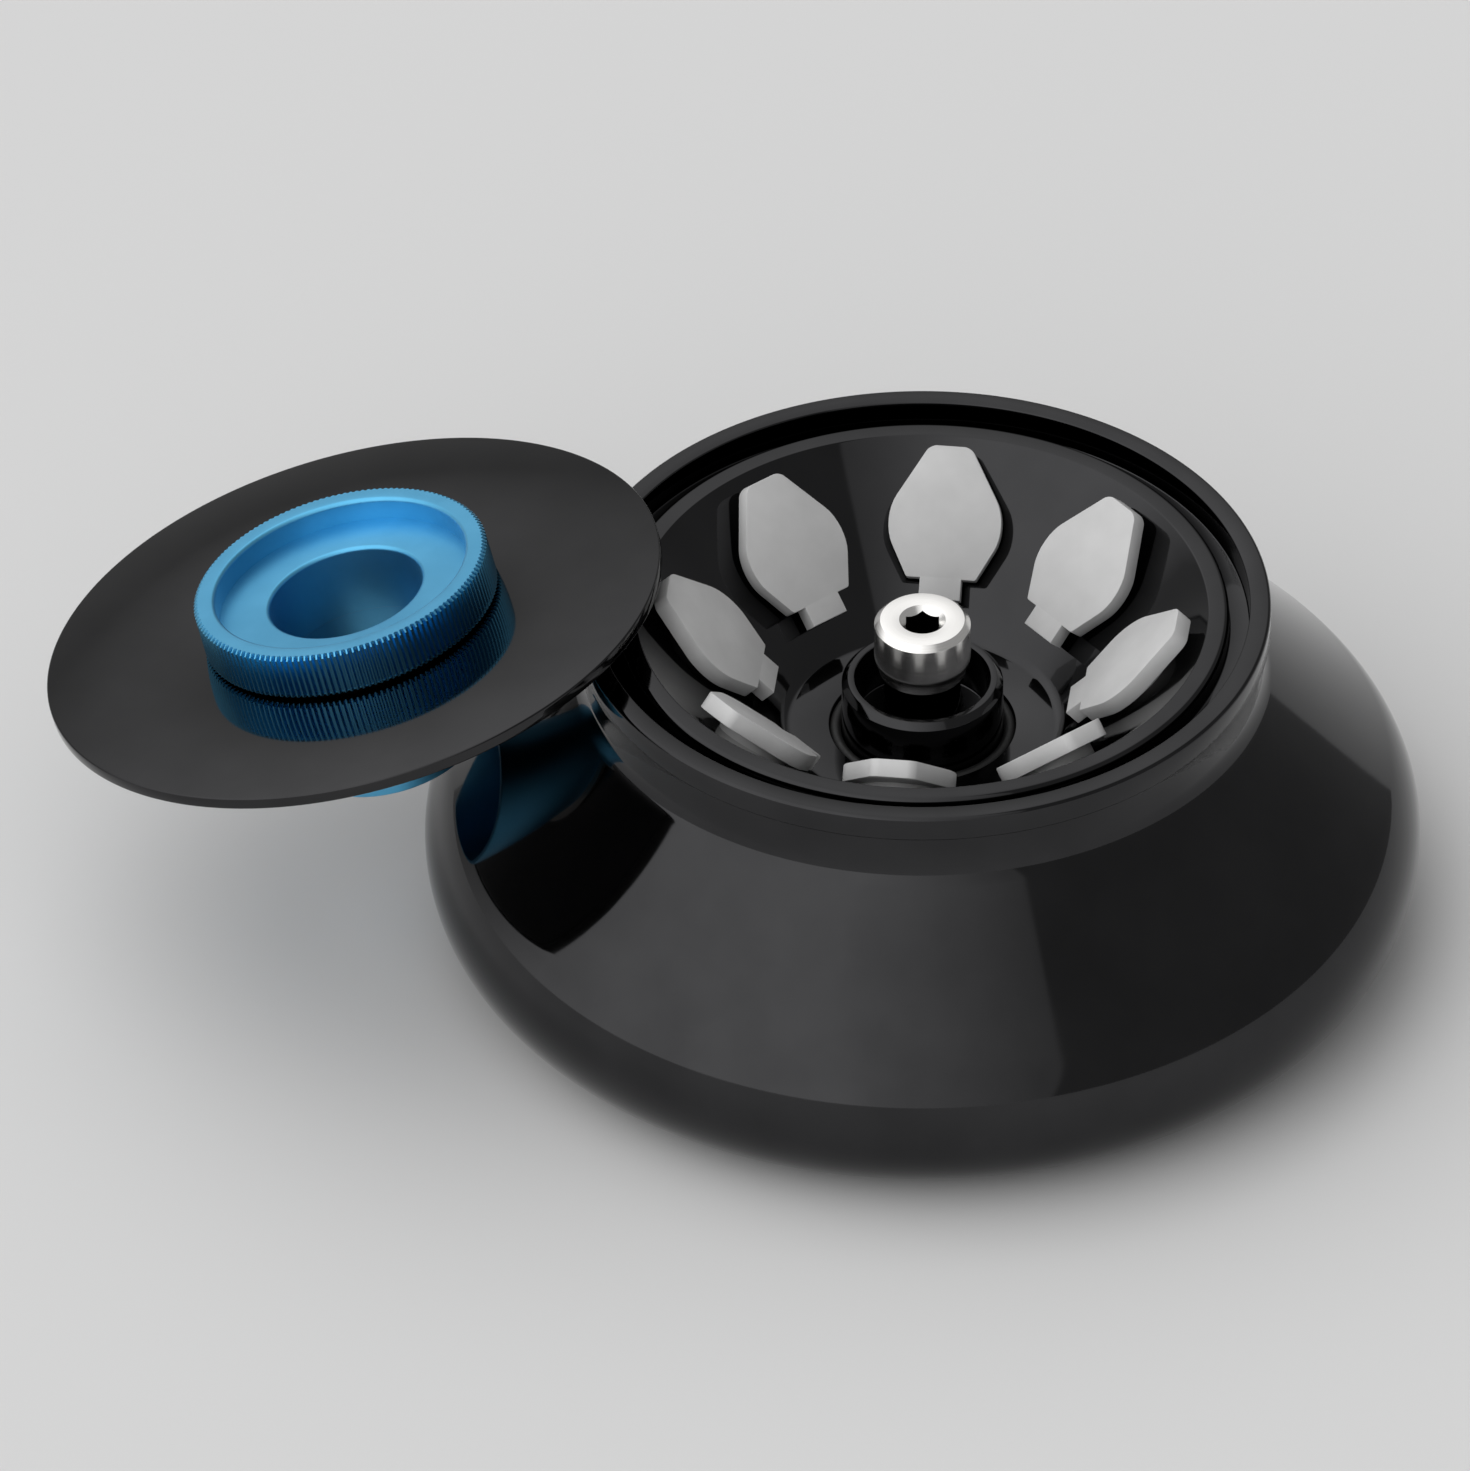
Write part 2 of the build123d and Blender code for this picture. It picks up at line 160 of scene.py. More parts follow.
def makeAnodisedBlue(name, gloss=1.0):
    material, tree = newMaterial(name)
    place = axisPlace(tree, True)
    haze = patches(tree, place, anodisedBlue["patchMm"])
    grain = patches(tree, place, anodisedBlue["grainMm"])
    rings = turningMarks(tree, place, anodisedBlue["ringMm"])
    surface = addNode(tree, "ShaderNodeMath", {0: grain, 1: rings}, operation="ADD").outputs["Value"]
    low, high = anodisedBlue["roughness"]
    shader = addNode(tree, "ShaderNodeBsdfPrincipled",
                     {"Base Color": tint(tree, haze, anodisedBlue["deep"], anodisedBlue["pale"]),
                      "Metallic": 1.0, "Roughness": spread(tree, grain, low * gloss, high * gloss),
                      "Coat Weight": anodisedBlue["oxide"],
                      "Coat Roughness": anodisedBlue["oxideRoughness"],
                      "Normal": relief(tree, surface, anodisedBlue["grainHeightMm"],
                                       anodisedBlue["grainStrength"])})
    finishMaterial(tree, shader)
    return material


# Polypropylene, moulded and coloured grey all through: satin, with a fine spark-eroded texture
# from the mould and faint flow patches
mouldedGrey = {"deep": "#c0c0c0", "pale": "#cbcbcb", "patchMm": 12.0, "ior": 1.49,
               "roughness": (0.42, 0.52),
               "grainMm": 0.35,  # the real texture is 0.15 mm, drawn coarser so that it shows
               "grainHeightMm": 0.006, "grainStrength": 0.3}


def makeMouldedGrey():
    material, tree = newMaterial("mouldedGreyPolypropylene")
    place = addNode(tree, "ShaderNodeTexCoord").outputs["Object"]
    flow = patches(tree, place, mouldedGrey["patchMm"])
    grain = patches(tree, place, mouldedGrey["grainMm"])
    shader = addNode(tree, "ShaderNodeBsdfPrincipled",
                     {"Base Color": tint(tree, flow, mouldedGrey["deep"], mouldedGrey["pale"]),
                      "IOR": mouldedGrey["ior"],
                      "Roughness": spread(tree, grain, *mouldedGrey["roughness"]),
                      "Normal": relief(tree, grain, mouldedGrey["grainHeightMm"],
                                       mouldedGrey["grainStrength"])})
    finishMaterial(tree, shader)
    return material


# Stainless steel, faced and turned on a lathe: bright, with fine rings that soften what it mirrors
turnedSteel = {"deep": "#f1efec", "pale": "#fbfaf8", "ringMm": 0.25, "roughness": (0.18, 0.26),
               "ringHeightMm": 0.0005, "ringStrength": 0.4}
# The same steel in the small fasteners, as rolled and sheared, duller and greyer
fastenerSteel = {"deep": "#8f8d89", "pale": "#a9a6a1", "ringMm": 0.4, "roughness": (0.3, 0.45),
                 "ringHeightMm": 0.002, "ringStrength": 0.5}
# Painted shade: near-black steel on the faces deep inside the broached hexagon socket, standing in for
# the shade that falls there
socketShadeFinish = {"deep": "#060606", "pale": "#0d0c0c", "ringMm": 0.4, "roughness": (0.4, 0.6),
               "ringHeightMm": 0.002, "ringStrength": 0.5}


def makeSteel(name, finish, onLid=False):
    material, tree = newMaterial(name)
    place = axisPlace(tree, onLid)
    rings = turningMarks(tree, place, finish["ringMm"])
    shader = addNode(tree, "ShaderNodeBsdfPrincipled",
                     {"Base Color": tint(tree, rings, finish["deep"], finish["pale"]), "Metallic": 1.0,
                      "Roughness": spread(tree, rings, *finish["roughness"]),
                      "Normal": relief(tree, rings, finish["ringHeightMm"], finish["ringStrength"])})
    finishMaterial(tree, shader)
    return material


# Nitrile rubber, moulded: dull black with a fine matt skin
nitrileRubber = {"deep": "#101010", "pale": "#1a1a1a", "patchMm": 1.2, "ior": 1.52,
                 "roughness": (0.5, 0.68), "reliefMm": 0.01, "strength": 0.4}
# Acetal resin, turned: black with a waxy low sheen
turnedAcetal = {"deep": "#0b0b0b", "pale": "#121212", "patchMm": 3.0, "ior": 1.48,
                "roughness": (0.34, 0.46), "reliefMm": 0.004, "strength": 0.3}


def makeBlackPlastic(name, finish):
    material, tree = newMaterial(name)
    place = addNode(tree, "ShaderNodeTexCoord").outputs["Object"]
    skin = patches(tree, place, finish["patchMm"], detail=5.0)
    shader = addNode(tree, "ShaderNodeBsdfPrincipled",
                     {"Base Color": tint(tree, skin, finish["deep"], finish["pale"]),
                      "IOR": finish["ior"], "Roughness": spread(tree, skin, *finish["roughness"]),
                      "Normal": relief(tree, skin, finish["reliefMm"], finish["strength"])})
    finishMaterial(tree, shader)
    return material


bodyBlack = makeAnodisedBlack("polishedBlackAnodisedAluminium")
hubBlack = makeAnodisedBlack("blackAnodisedHubAluminium", gloss=1.3)
lidBlack = makeAnodisedBlack("blackAnodisedLidAluminium", onLid=True, gloss=1.2)
knobBlue = makeAnodisedBlue("beadBlastedBlueAluminium")
# the knurl is cut after the blasting, so it shines more
knurlBlue = makeAnodisedBlue("knurledBlueAluminium", gloss=0.45)
insertGrey = makeMouldedGrey()
screwSteel = makeSteel("turnedStainlessSteel", turnedSteel)
# painted shade for the inside of the screw's socket
socketShadeSteel = makeSteel("paintedShadeSocketSteel", socketShadeFinish)
springSteel = makeSteel("rolledStainlessSteel", fastenerSteel)
sealRubber = makeBlackPlastic("mouldedNitrileRubber", nitrileRubber)
washerBlack = makeBlackPlastic("turnedBlackAcetal", turnedAcetal)
print("materials made")

# CAD nodes that are shown as they are
finishes = {"knob_washer": washerBlack, "hub_seal": sealRubber, "lid_seal": sealRubber,
            "lid_clip": springSteel, "screw_clip": springSteel, "hub_screws": springSteel,
            "drive_pins": springSteel}
for name, finish in finishes.items():
    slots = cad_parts[name].data.materials
    slots.clear()
    slots.append(finish)


turning = {"steps": 256, "cornerSegments": 8, "smallCornerMm": 0.5, "smallCornerSegments": 3}


def roundCorner(mesh, vert, radius, segments):
    # a true radius between the two edges that meet at a corner of a flat outline
    sides = [(edge.other_vert(vert).co - vert.co).normalized() for edge in vert.link_edges]
    reach = radius * mm / tan(sides[0].angle(sides[1]) / 2)
    bmesh.ops.bevel(mesh, geom=[vert], offset=reach, offset_type="OFFSET", segments=segments,
                    profile=0.5, affect="VERTICES", material=-1)


def outlineFace(mesh, corners, verts=()):
    # a flat face in the XZ plane through (x, z, rounding) corners, after any verts already there
    fresh = [mesh.verts.new((x * mm, 0.0, z * mm)) for x, z, radius in corners]
    mesh.faces.new(list(verts) + fresh)
    for vert, (x, z, radius) in zip(fresh, corners):
        if radius:
            setting = "smallCornerSegments" if radius < turning["smallCornerMm"] else "cornerSegments"
            roundCorner(mesh, vert, radius, turning[setting])


def turnOutline(mesh, steps=turning["steps"]):
    # the outline's edges, turned once round the Z axis
    bmesh.ops.delete(mesh, geom=mesh.faces[:], context="FACES_ONLY")
    bmesh.ops.spin(mesh, geom=mesh.verts[:] + mesh.edges[:], cent=(0, 0, 0), axis=(0, 0, 1),
                   angle=2 * pi, steps=steps, use_merge=True)
    bmesh.ops.remove_doubles(mesh, verts=mesh.verts[:], dist=mergeDistance)
    bmesh.ops.recalc_face_normals(mesh, faces=mesh.faces[:])


def turned(corners, steps=turning["steps"]):
    mesh = bmesh.new()
    outlineFace(mesh, corners)
    turnOutline(mesh, steps)
    return mesh


def toObject(mesh, name, *materials):
    # smooth faces with sharp creases, as an object at the origin
    for face in mesh.faces:
        face.smooth = True
    for edge in mesh.edges:
        edge.smooth = len(edge.link_faces) == 2 and edge.calc_face_angle(0.0) < creaseAngle
    data = bpy.data.meshes.new(name)
    mesh.to_mesh(data)
    mesh.free()
    for material in materials:
        data.materials.append(material)
    piece = bpy.data.objects.new(name, data)
    bpy.context.scene.collection.objects.link(piece)
    return piece


def addCylinder(mesh, radiusMm, topMm, depthMm, place=Matrix(), segments=64):
    # a closed cylinder that hangs down from topMm
    middle = Matrix.Translation((0, 0, (topMm - depthMm / 2) * mm))
    bmesh.ops.create_cone(mesh, cap_ends=True, segments=segments, radius1=radiusMm * mm,
                          radius2=radiusMm * mm, depth=depthMm * mm, matrix=place @ middle)


def cutAway(mesh, cutterMesh):
    # the mesh without what the cutter fills
    piece, cutter = toObject(mesh, "stock"), toObject(cutterMesh, "cutter")
    cut = piece.modifiers.new("cut", "BOOLEAN")
    cut.object, cut.operation, cut.solver = cutter, "DIFFERENCE", "EXACT"
    bpy.context.view_layer.update()
    result = bmesh.new()
    result.from_mesh(piece.evaluated_get(bpy.context.evaluated_depsgraph_get()).to_mesh())
    bmesh.ops.remove_doubles(result, verts=result.verts[:], dist=mergeDistance)
    bpy.data.objects.remove(piece)
    bpy.data.objects.remove(cutter)
    return result


def fit(piece, body, slot, *nodes):
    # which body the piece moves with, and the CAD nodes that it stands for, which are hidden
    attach(piece, body)
    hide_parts(*nodes)


# Places: eight pockets that lean outwards, each with an insert
places = {"count": 8, "firstAngle": -6.4, "tilt": 45.3, "radiusMm": 48.2, "heightMm": 82.001}


def placeMatrix(number):
    # an insert's face: X runs round the rotor, Y up the slope, Z out of the face
    a, tilt = radians(places["firstAngle"] + number * 360 / places["count"]), radians(places["tilt"])
    across = Vector((sin(a), -cos(a), 0.0))
    out = Vector((-sin(tilt) * cos(a), -sin(tilt) * sin(a), cos(tilt)))
    centre = Vector((places["radiusMm"] * cos(a), places["radiusMm"] * sin(a), places["heightMm"])) * mm
    turn = Matrix((across, out.cross(across), out)).transposed().to_4x4()
    return Matrix.Translation(centre) @ turn


# Inserts: a flat paddle on a round plug that fills its pocket
insert = {"outline": ((5.0, 19.1, 3.0), (15.6, 0.5, 12.5), (8.4, -13.2, 0.8), (5.05, -13.2, 0.0),
                      (5.05, -18.3, 0.0)),
          "thickMm": 4.4, "edgeMm": 0.25, "plugRadiusMm": 9.3, "plugMm": 57.6, "plugOverlapMm": 0.5,
          "plugTipMm": 0.1, "plugSteps": 96}


def plugShape(radiusMm, topMm, endMm):
    # a round-ended plug that hangs down the Z axis
    return turned(((0.0, topMm, 0.0), (radiusMm, topMm, 0.0),
                   (radiusMm, endMm, radiusMm - insert["plugTipMm"]), (0.0, endMm, 0.0)),
                  insert["plugSteps"])


def addShape(mesh, shape, matrix=Matrix()):
    # joins another shape into the mesh, at its place
    data = bpy.data.meshes.new("shape")
    shape.to_mesh(data)
    data.transform(matrix)
    mesh.from_mesh(data)
    bpy.data.meshes.remove(data)


def makeInsert(number):
    half = list(insert["outline"])
    thick, radius = insert["thickMm"], insert["plugRadiusMm"]
    mesh = bmesh.new()
    outlineFace(mesh, half + [(-x, y, rounding) for x, y, rounding in reversed(half)])
    bmesh.ops.rotate(mesh, verts=mesh.verts[:], matrix=Matrix.Rotation(-pi / 2, 3, "X"))
    made = bmesh.ops.extrude_face_region(mesh, geom=mesh.faces[:])["geom"]
    back = [item for item in made if isinstance(item, bmesh.types.BMVert)]
    bmesh.ops.translate(mesh, verts=back, vec=(0, 0, -thick * mm))
    bmesh.ops.recalc_face_normals(mesh, faces=mesh.faces[:])
    rims = [edge for edge in mesh.edges
            if abs(edge.verts[0].co.z - edge.verts[1].co.z) < thick * mm / 2]
    bmesh.ops.bevel(mesh, geom=rims, offset=insert["edgeMm"] * mm, offset_type="OFFSET", segments=2,
                    profile=0.5, affect="EDGES", material=-1)
    plug = plugShape(radius, insert["plugOverlapMm"] - thick, -(thick + insert["plugMm"] + radius))
    addShape(mesh, plug)
    plug.free()
    bmesh.ops.transform(mesh, verts=mesh.verts[:], matrix=placeMatrix(number))
    name = f"pocketInsert{number + 1}"
    fit(toObject(mesh, name, insertGrey), "rotor", "insert_grey", f"pocket_insert_{number + 1}")


for number in range(places["count"]):
    makeInsert(number)
print("inserts made")

# Rotor body: one turned block. The outline starts with the bead's arc and goes up the flank,
# over the rim, down the drip channel, over the lip, down the bowl and back underneath
body = {"beadCentreMm": 94.6, "beadRadiusMm": 25.4, "beadSweep": 133.297, "beadSteps": 64,
        "corners": ((82.0, 75.81, 8.0), (82.0, 88.55, 0.3), (84.1, 88.55, 0.3), (84.1, 95.0, 0.9),
                    (79.0, 95.0, 0.3), (79.0, 87.7, 0.4), (74.0, 87.7, 0.4), (74.0, 92.9, 1.4),
                    (69.0, 92.9, 0.6), (33.4, 58.7, 4.0), (22.5, 58.7, 0.2), (22.5, 55.7, 0.2),
                    (19.55, 55.7, 0.0), (19.55, 48.0, 0.0), (62.655, 48.0, 1.0), (76.0, 34.794, 1.0),
                    (76.0, 0.0, 0.4)),
        "coneMiddleMm": (51.2, 75.8), "coneCuts": 16, "pocketRadiusMm": 9.5, "pocketEndMm": -71.5,
        "screwHoleMm": (2.55, 55.5, 9.0)}  # a hole is its radius, its top and its depth
fasteners = {"circleMm": 25.5, "screws": 6, "pins": 2, "firstPin": 30.0}


def roundTheHub(count, start=0.0):
    # the places of fasteners on their circle
    out = Matrix.Translation((fasteners["circleMm"] * mm, 0, 0))
    for number in range(count):
        yield Matrix.Rotation(radians(start + number * 360 / count), 4, "Z") @ out


def nearestEdge(mesh, x, z):
    # the outline's edge whose middle is closest to a point
    point = Vector((x, 0, z)) * mm
    return min(mesh.edges, key=lambda edge: ((edge.verts[0].co + edge.verts[1].co) / 2 - point).length)


def makeBody():
    mesh = bmesh.new()
    centre, radius = body["beadCentreMm"] * mm, body["beadRadiusMm"] * mm
    bmesh.ops.spin(mesh, geom=[mesh.verts.new((centre, 0, 0))], cent=(centre, 0, radius),
                   axis=(0, -1, 0), angle=radians(body["beadSweep"]), steps=body["beadSteps"])
    outlineFace(mesh, body["corners"], sorted(mesh.verts, key=lambda vert: vert.co.z))
    cone = nearestEdge(mesh, *body["coneMiddleMm"])
    bmesh.ops.subdivide_edges(mesh, edges=[cone], cuts=body["coneCuts"])
    turnOutline(mesh)
    cutter = bmesh.new()
    pocket = plugShape(body["pocketRadiusMm"], 0.0, body["pocketEndMm"])
    for number in range(places["count"]):
        addShape(cutter, pocket, placeMatrix(number))
    pocket.free()
    for matrix in roundTheHub(fasteners["screws"]):
        addCylinder(cutter, *body["screwHoleMm"], matrix)
    fit(toObject(cutAway(mesh, cutter), "rotorBody", bodyBlack), "rotor", "body_black", "rotor_body")


makeBody()
print("rotor body made")

# Drive hub: collar, clamping flange and drive bore, also turned
hub = {"corners": ((8.0, 0.0, 0.5), (17.0, 0.0, 0.6), (17.0, 40.0, 0.5), (31.0, 40.0, 0.5),
                   (31.0, 48.0, 0.0), (19.5, 48.0, 0.0), (19.5, 71.3, 0.15), (18.0, 72.8, 0.15),
                   (16.4, 72.8, 0.25), (16.4, 60.0, 0.5), (9.2, 60.0, 0.5), (9.2, 75.05, 0.3),
                   (5.08, 75.05, 0.2), (5.08, 46.0, 0.2), (9.0, 46.0, 0.0), (9.0, 24.0, 0.0),
                   (8.0, 24.0, 0.3)),
       "steps": 192, "screwHoleMm": (2.75, 49.0, 10.0), "pinHoleMm": (3.05, 46.0, 7.0)}


def makeHub():
    cutter = bmesh.new()
    for matrix in roundTheHub(fasteners["screws"]):
        addCylinder(cutter, *hub["screwHoleMm"], matrix)
    for matrix in roundTheHub(fasteners["pins"], fasteners["firstPin"]):
        addCylinder(cutter, *hub["pinHoleMm"], matrix)
    mesh = cutAway(turned(hub["corners"], hub["steps"]), cutter)
    fit(toObject(mesh, "driveHub", hubBlack), "rotor", "hub_black", "drive_hub")


makeHub()
print("drive hub made")

# Tie-down screw: turned head with a broached hexagon, plain shank and a rolled thread
screw = {"corners": ((0.0, 88.8, 0.0), (3.9, 88.8, 0.0), (5.6, 90.5, 0.15), (10.23, 90.5, 0.2),
                     (11.66, 89.07, 0.25), (11.66, 79.4, 4.2), (10.3, 75.2, 0.3), (5.0, 75.2, 0.3),
                     (5.0, 45.85, 0.1), (4.5, 45.85, 0.0), (4.5, 44.65, 0.0), (4.6, 44.65, 0.1),
                     (4.6, 43.2, 0.1), (4.3, 43.0, 0.1), (4.3, 31.9, 0.1), (3.7, 31.2, 0.1),
                     (0.0, 31.2, 0.0)),
         "steps": 128, "hexMm": 8.0, "hexTopMm": 91.5, "hexBottomMm": 83.0,
         "socketRadiusMm": 4.7, "socketFromMm": 82.0, "socketToMm": 90.4, "mouthSlope": (0.3, 0.9),
         "pitchMm": 1.5, "turns": 7, "threadStartMm": 32.3, "stepsPerTurn": 48,
         "threadFootMm": 4.25, "threadCrestMm": 5.0,
         "threadFootShare": 0.45, "threadCrestShare": 0.07}  # half the tooth's width over the pitch


def threadShape():
    # a tooth's section, wound up the axis
    foot, crest, start = screw["threadFootMm"], screw["threadCrestMm"], screw["threadStartMm"]
    pitch, steps, turns = screw["pitchMm"], screw["stepsPerTurn"], screw["turns"]
    footHalf, crestHalf = screw["threadFootShare"] * pitch, screw["threadCrestShare"] * pitch
    mesh = bmesh.new()
    outlineFace(mesh, ((foot, start - footHalf, 0.0), (crest, start - crestHalf, 0.0),
                       (crest, start + crestHalf, 0.0), (foot, start + footHalf, 0.0)))
    wound = bmesh.ops.spin(mesh, geom=mesh.verts[:] + mesh.edges[:], cent=(0, 0, 0), axis=(0, 0, 1),
                           dvec=(0, 0, pitch * mm / steps), angle=2 * pi * turns, steps=steps * turns)
    end = [item for item in wound["geom_last"] if isinstance(item, bmesh.types.BMEdge)]
    bmesh.ops.contextual_create(mesh, geom=end)
    bmesh.ops.recalc_face_normals(mesh, faces=mesh.faces[:])
    return mesh


def makeScrew():
    cutter = bmesh.new()
    addCylinder(cutter, screw["hexMm"] / 2 / cos(radians(30)), screw["hexTopMm"],
                screw["hexTopMm"] - screw["hexBottomMm"], segments=6)
    mesh = cutAway(turned(screw["corners"], screw["steps"]), cutter)
    least, most = screw["mouthSlope"]
    for face in mesh.faces:
        middle = face.calc_center_median() / mm
        deep = screw["socketFromMm"] < middle.z < screw["socketToMm"]
        onMouth = least < abs(face.normal.z) < most  # the mouth stays bright
        # painted shade: the socket's deeper faces take the near-black second material, and its sloped
        # mouth keeps the bright steel
        if deep and middle.xy.length < screw["socketRadiusMm"] and not onMouth:
            face.material_index = 1
    thread = threadShape()
    addShape(mesh, thread)
    thread.free()
    piece = toObject(mesh, "tieDownScrew", screwSteel, socketShadeSteel)
    fit(piece, "screw", "screw_steel", "tie_down_screw")


makeScrew()
print("tie-down screw made")


def toLid(mesh):
    # moves a shape from the lid's own frame to its place
    turn = Matrix.Rotation(lidTurn[2], 4, "Z") @ Matrix.Rotation(lidTurn[1], 4, "Y")
    centre = Matrix.Translation(Vector(lidPlace["centreMm"]) * mm)
    bmesh.ops.transform(mesh, verts=mesh.verts[:], matrix=centre @ turn)


# Lid: a turned disc that rises about a millimetre towards its middle, with a seat for the washer
# and the seal's groove underneath
lid = {"corners": ((21.25, -3.0, 0.2), (70.56, -3.0, 0.15), (70.56, -1.56, 0.0), (72.44, -1.56, 0.0),
                   (72.44, -3.0, 0.15), (76.4, -3.0, 0.4), (76.4, 0.0, 0.4), (33.4, 0.95, 0.2),
                   (33.4, 0.0, 0.0), (21.25, 0.0, 0.0)),
       "steps": 360}


def makeLid():
    mesh = turned(lid["corners"], lid["steps"])
    toLid(mesh)
    fit(toObject(mesh, "lidDisc", lidBlack), "rotor", "lid_black", "lid_disc")


makeLid()
print("lid made")

# Knob: turned together with its tube, with a knurl of straight teeth round the rim
knob = {"section": ((19.0, 7.7, 1.0), (31.2, 7.7, 0.0), (31.2, 13.4, 1.0), (34.0, 13.4, 0.0),
                    (34.0, 2.3, 0.0), (21.2, 2.3, 0.4), (21.2, -3.15, 0.0), (20.7, -3.15, 0.0),
                    (20.7, -4.65, 0.0), (21.2, -4.65, 0.0), (21.2, -38.0, 0.3), (19.8, -38.0, 0.3),
                    (19.8, -10.0, 0.3), (19.0, -10.0, 0.3)),
        "joinMm": 34.0, "joinMiddleMm": 7.85,  # where the knurled ring is joined on
        "teeth": 150, "stepsPerTooth": 4, "tipSteps": (0, 1), "rootSteps": (2, 3),
        "tipMm": 36.5, "rootMm": 35.35,
        "rings": ((1.8, 36.1), (2.2, 36.5), (12.6, 36.5), (13.4, 35.7))}  # height and greatest radius


def toothStep(vert, steps):
    # which step of its tooth a vert is on
    return round(atan2(vert.co.y, vert.co.x) / (2 * pi) * steps) % knob["stepsPerTooth"]


def makeKnob():
    steps = knob["teeth"] * knob["stepsPerTooth"]
    mesh = bmesh.new()
    outlineFace(mesh, knob["section"])
    outer = nearestEdge(mesh, knob["joinMm"], knob["joinMiddleMm"])
    bmesh.ops.delete(mesh, geom=mesh.faces[:], context="FACES_ONLY")
    bmesh.ops.delete(mesh, geom=[outer], context="EDGES")
    turnOutline(mesh, steps)

    # the ring grows up from the core's lower open edge, one tooth height after another
    openEdges = [edge for edge in mesh.edges if edge.is_boundary]
    edges = [edge for edge in openEdges if edge.verts[0].co.z < knob["joinMiddleMm"] * mm]
    high = [edge for edge in openEdges if edge not in edges]
    for height, greatest in knob["rings"]:
        made = bmesh.ops.extrude_edge_only(mesh, edges=edges)["geom"]
        ring = [item for item in made if isinstance(item, bmesh.types.BMVert)]
        edges = [item for item in made if isinstance(item, bmesh.types.BMEdge) and item.is_boundary]
        for radius, part in ((knob["tipMm"], knob["tipSteps"]), (knob["rootMm"], knob["rootSteps"])):
            chosen = [vert for vert in ring if toothStep(vert, steps) in part]
            grow = min(radius, greatest) * mm / chosen[0].co.xy.length
            bmesh.ops.scale(mesh, verts=chosen, vec=(grow, grow, 1.0))
        bmesh.ops.translate(mesh, verts=ring, vec=(0, 0, height * mm - ring[0].co.z))
    bmesh.ops.bridge_loops(mesh, edges=edges + high)
    bmesh.ops.recalc_face_normals(mesh, faces=mesh.faces[:])
    low, top = knob["rings"][1][0], knob["rings"][2][0]
    for face in mesh.faces:
        middle = face.calc_center_median() / mm
        if middle.xy.length > knob["joinMm"] and low < middle.z < top:  # the teeth between the chamfers
            face.material_index = 1
    toLid(mesh)
    fit(toObject(mesh, "lidKnob", knobBlue, knurlBlue), "knob", "knob_blue", "lid_knob")


makeKnob()
print("knob made")

# Studio: a bright soft room over a pale floor, dimmer behind and dark to the right, so that the
# polished black shows its shape
studio = {"bright": 1.46, "dark": 0.27, "darkSlope": (0.8777, 0.4548, -0.1514),
          "darkBack": (1.0, -0.4, 0.0), "sharpEdge": 0.01, "softEdge": 0.1,
          "leftX": -0.3, "rightX": 0.415, "rightShare": 0.38, "frontY": -0.3, "backY": 0.7,
          "backRise": 2.9, "backStart": -0.44, "backLeast": 0.35,
          "floorColour": "#e2e2e2", "floorRoughness": 0.9, "floorMm": 12000.0}


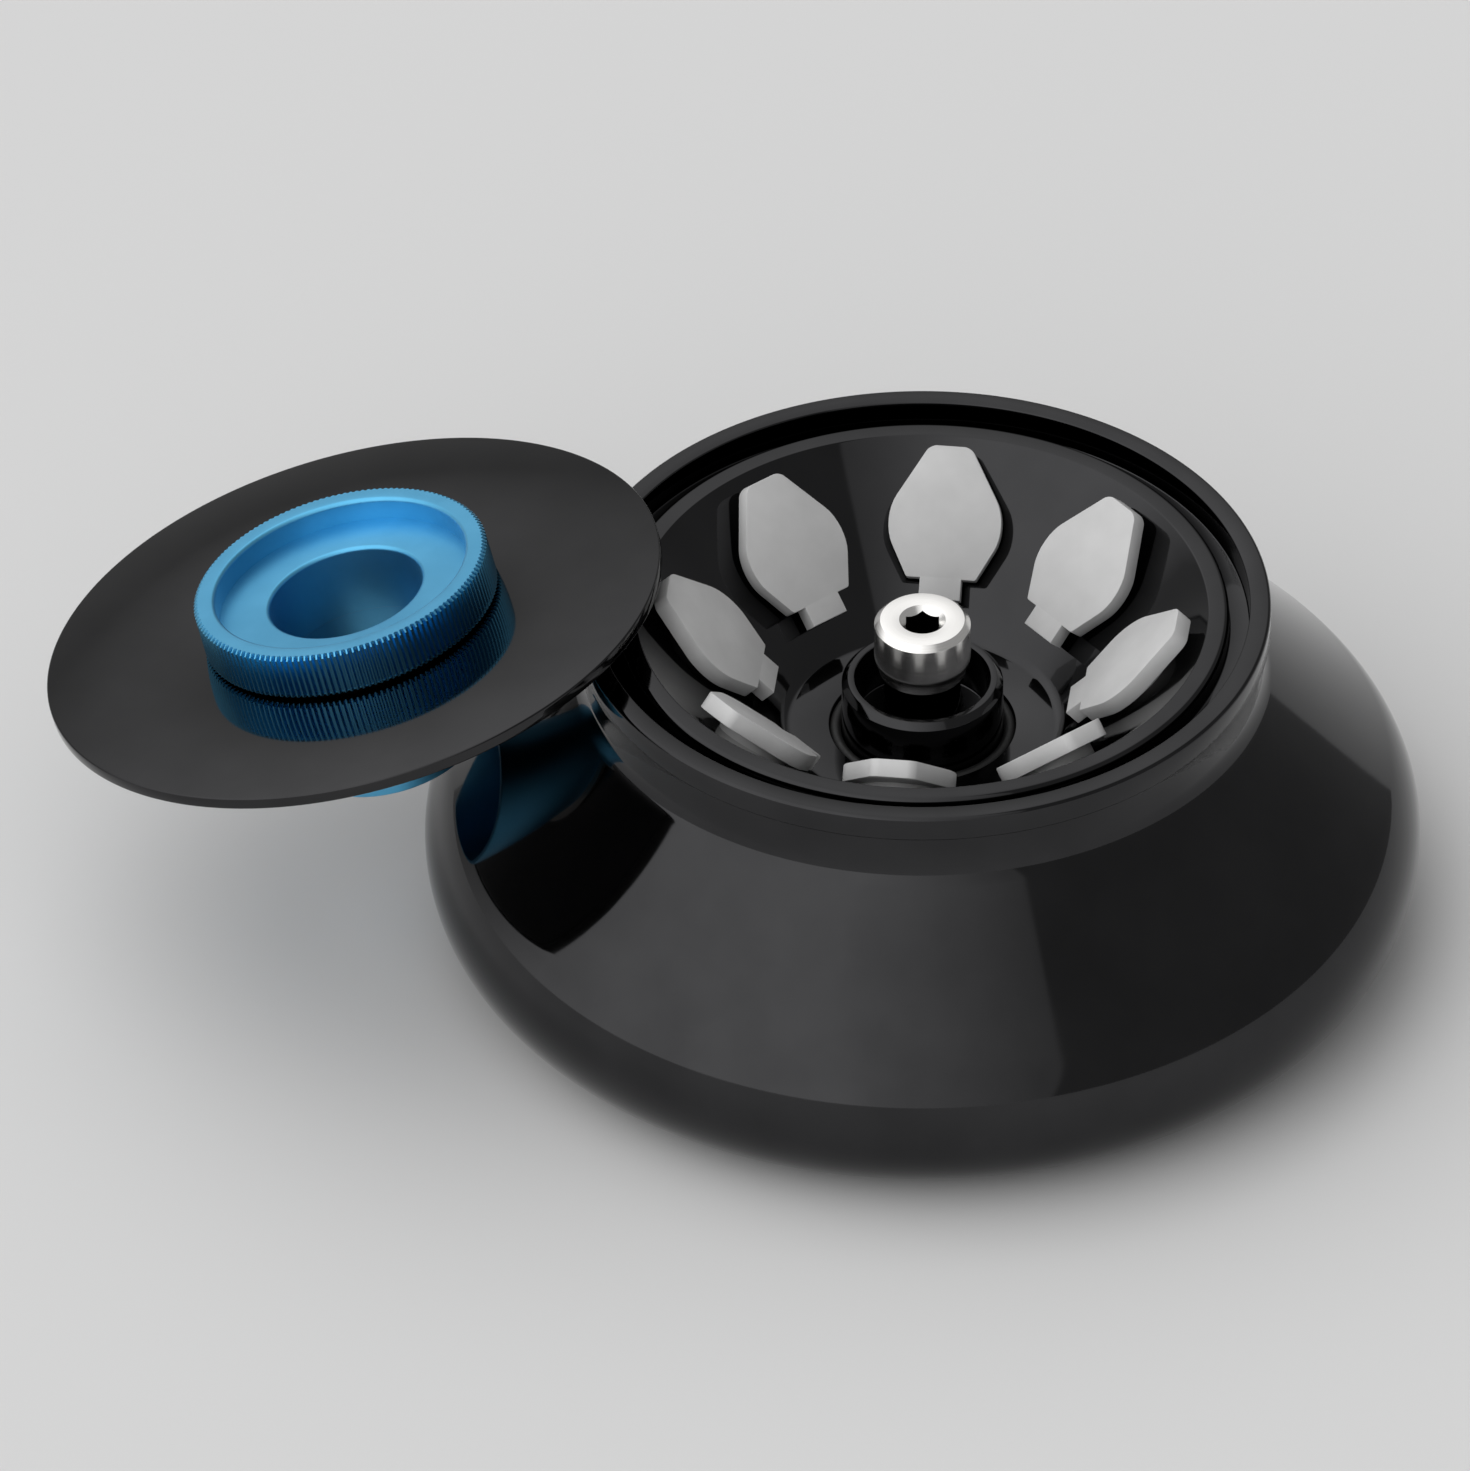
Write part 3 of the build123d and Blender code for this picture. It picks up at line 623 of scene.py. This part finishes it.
def makeStudio():
    world = bpy.data.worlds.new("studio")
    bpy.context.scene.world = world
    world.use_nodes = True
    tree = world.node_tree
    tree.nodes.clear()
    direction = addNode(tree, "ShaderNodeTexCoord").outputs["Generated"]
    x, y, z = addNode(tree, "ShaderNodeSeparateXYZ", {"Vector": direction}).outputs

    # level to the front and the left, and how it falls off to the right and behind
    across = addNode(tree, "ShaderNodeMapRange",
                     {"Value": x, "From Min": studio["leftX"], "From Max": studio["rightX"],
                      "To Min": 1.0, "To Max": studio["rightShare"]}).outputs["Result"]
    behind = addNode(tree, "ShaderNodeMath", {0: z, 1: studio["backRise"], 2: studio["backStart"]},
                     operation="MULTIPLY_ADD").outputs["Value"]
    behind = addNode(tree, "ShaderNodeClamp",
                     {"Value": behind, "Min": studio["backLeast"],
                      "Max": studio["bright"]}).outputs["Result"]
    turn = addNode(tree, "ShaderNodeMapRange",
                   {"Value": y, "From Min": studio["frontY"], "From Max": studio["backY"]},
                   interpolation_type="SMOOTHSTEP").outputs["Result"]
    level = addNode(tree, "ShaderNodeMix",
                    {"Factor": turn, "A": studio["bright"], "B": behind}).outputs["Result"]
    level = addNode(tree, "ShaderNodeMath", {0: level, 1: across}, operation="MULTIPLY").outputs["Value"]

    # the dark side: a sharp edge that leans, and a soft end towards the back
    edge = addNode(tree, "ShaderNodeVectorMath", {0: direction, 1: studio["darkSlope"]},
                   operation="DOT_PRODUCT").outputs["Value"]
    edge = addNode(tree, "ShaderNodeMapRange",
                   {"Value": edge, "From Min": -studio["sharpEdge"],
                    "From Max": studio["sharpEdge"]}).outputs["Result"]
    side = addNode(tree, "ShaderNodeVectorMath", {0: direction, 1: studio["darkBack"]},
                   operation="DOT_PRODUCT").outputs["Value"]
    side = addNode(tree, "ShaderNodeMapRange",
                   {"Value": side, "From Min": -studio["softEdge"], "From Max": studio["softEdge"]},
                   interpolation_type="SMOOTHSTEP").outputs["Result"]
    dark = addNode(tree, "ShaderNodeMath", {0: edge, 1: side}, operation="MULTIPLY").outputs["Value"]
    strength = addNode(tree, "ShaderNodeMix",
                       {"Factor": dark, "A": level, "B": studio["dark"]}).outputs["Result"]
    sky = addNode(tree, "ShaderNodeBackground", {"Color": (1, 1, 1, 1), "Strength": strength})
    addNode(tree, "ShaderNodeOutputWorld", {"Surface": sky.outputs["Background"]})

    mesh = bmesh.new()
    bmesh.ops.create_grid(mesh, x_segments=1, y_segments=1, size=studio["floorMm"] * mm / 2)
    floor = toObject(mesh, "floor")
    material, tree = newMaterial("paleFloor")
    shader = addNode(tree, "ShaderNodeBsdfPrincipled",
                     {"Base Color": linear(studio["floorColour"]), "Roughness": studio["floorRoughness"]})
    finishMaterial(tree, shader)
    floor.data.materials.append(material)


makeStudio()

# Camera: parallel view from the front, 38 degrees above the horizon
camera = {"elevation": 38.08, "widthMm": 354.66, "aimMm": (-45.2, 0.0, 54.9), "distanceMm": 1500.0}


def makeCamera():
    data = bpy.data.cameras.new("camera")
    data.type = "ORTHO"
    data.ortho_scale = camera["widthMm"] * mm
    view = bpy.data.objects.new("camera", data)
    bpy.context.scene.collection.objects.link(view)
    e = radians(camera["elevation"])
    back = Vector((0.0, -cos(e), sin(e)))
    view.location = Vector(camera["aimMm"]) * mm + back * camera["distanceMm"] * mm
    view.rotation_mode = "QUATERNION"
    view.rotation_quaternion = (-back).to_track_quat("-Z", "Y")
    bpy.context.scene.camera = view


makeCamera()
bpy.context.scene.view_settings.view_transform = "Standard"
print("studio and camera ready")
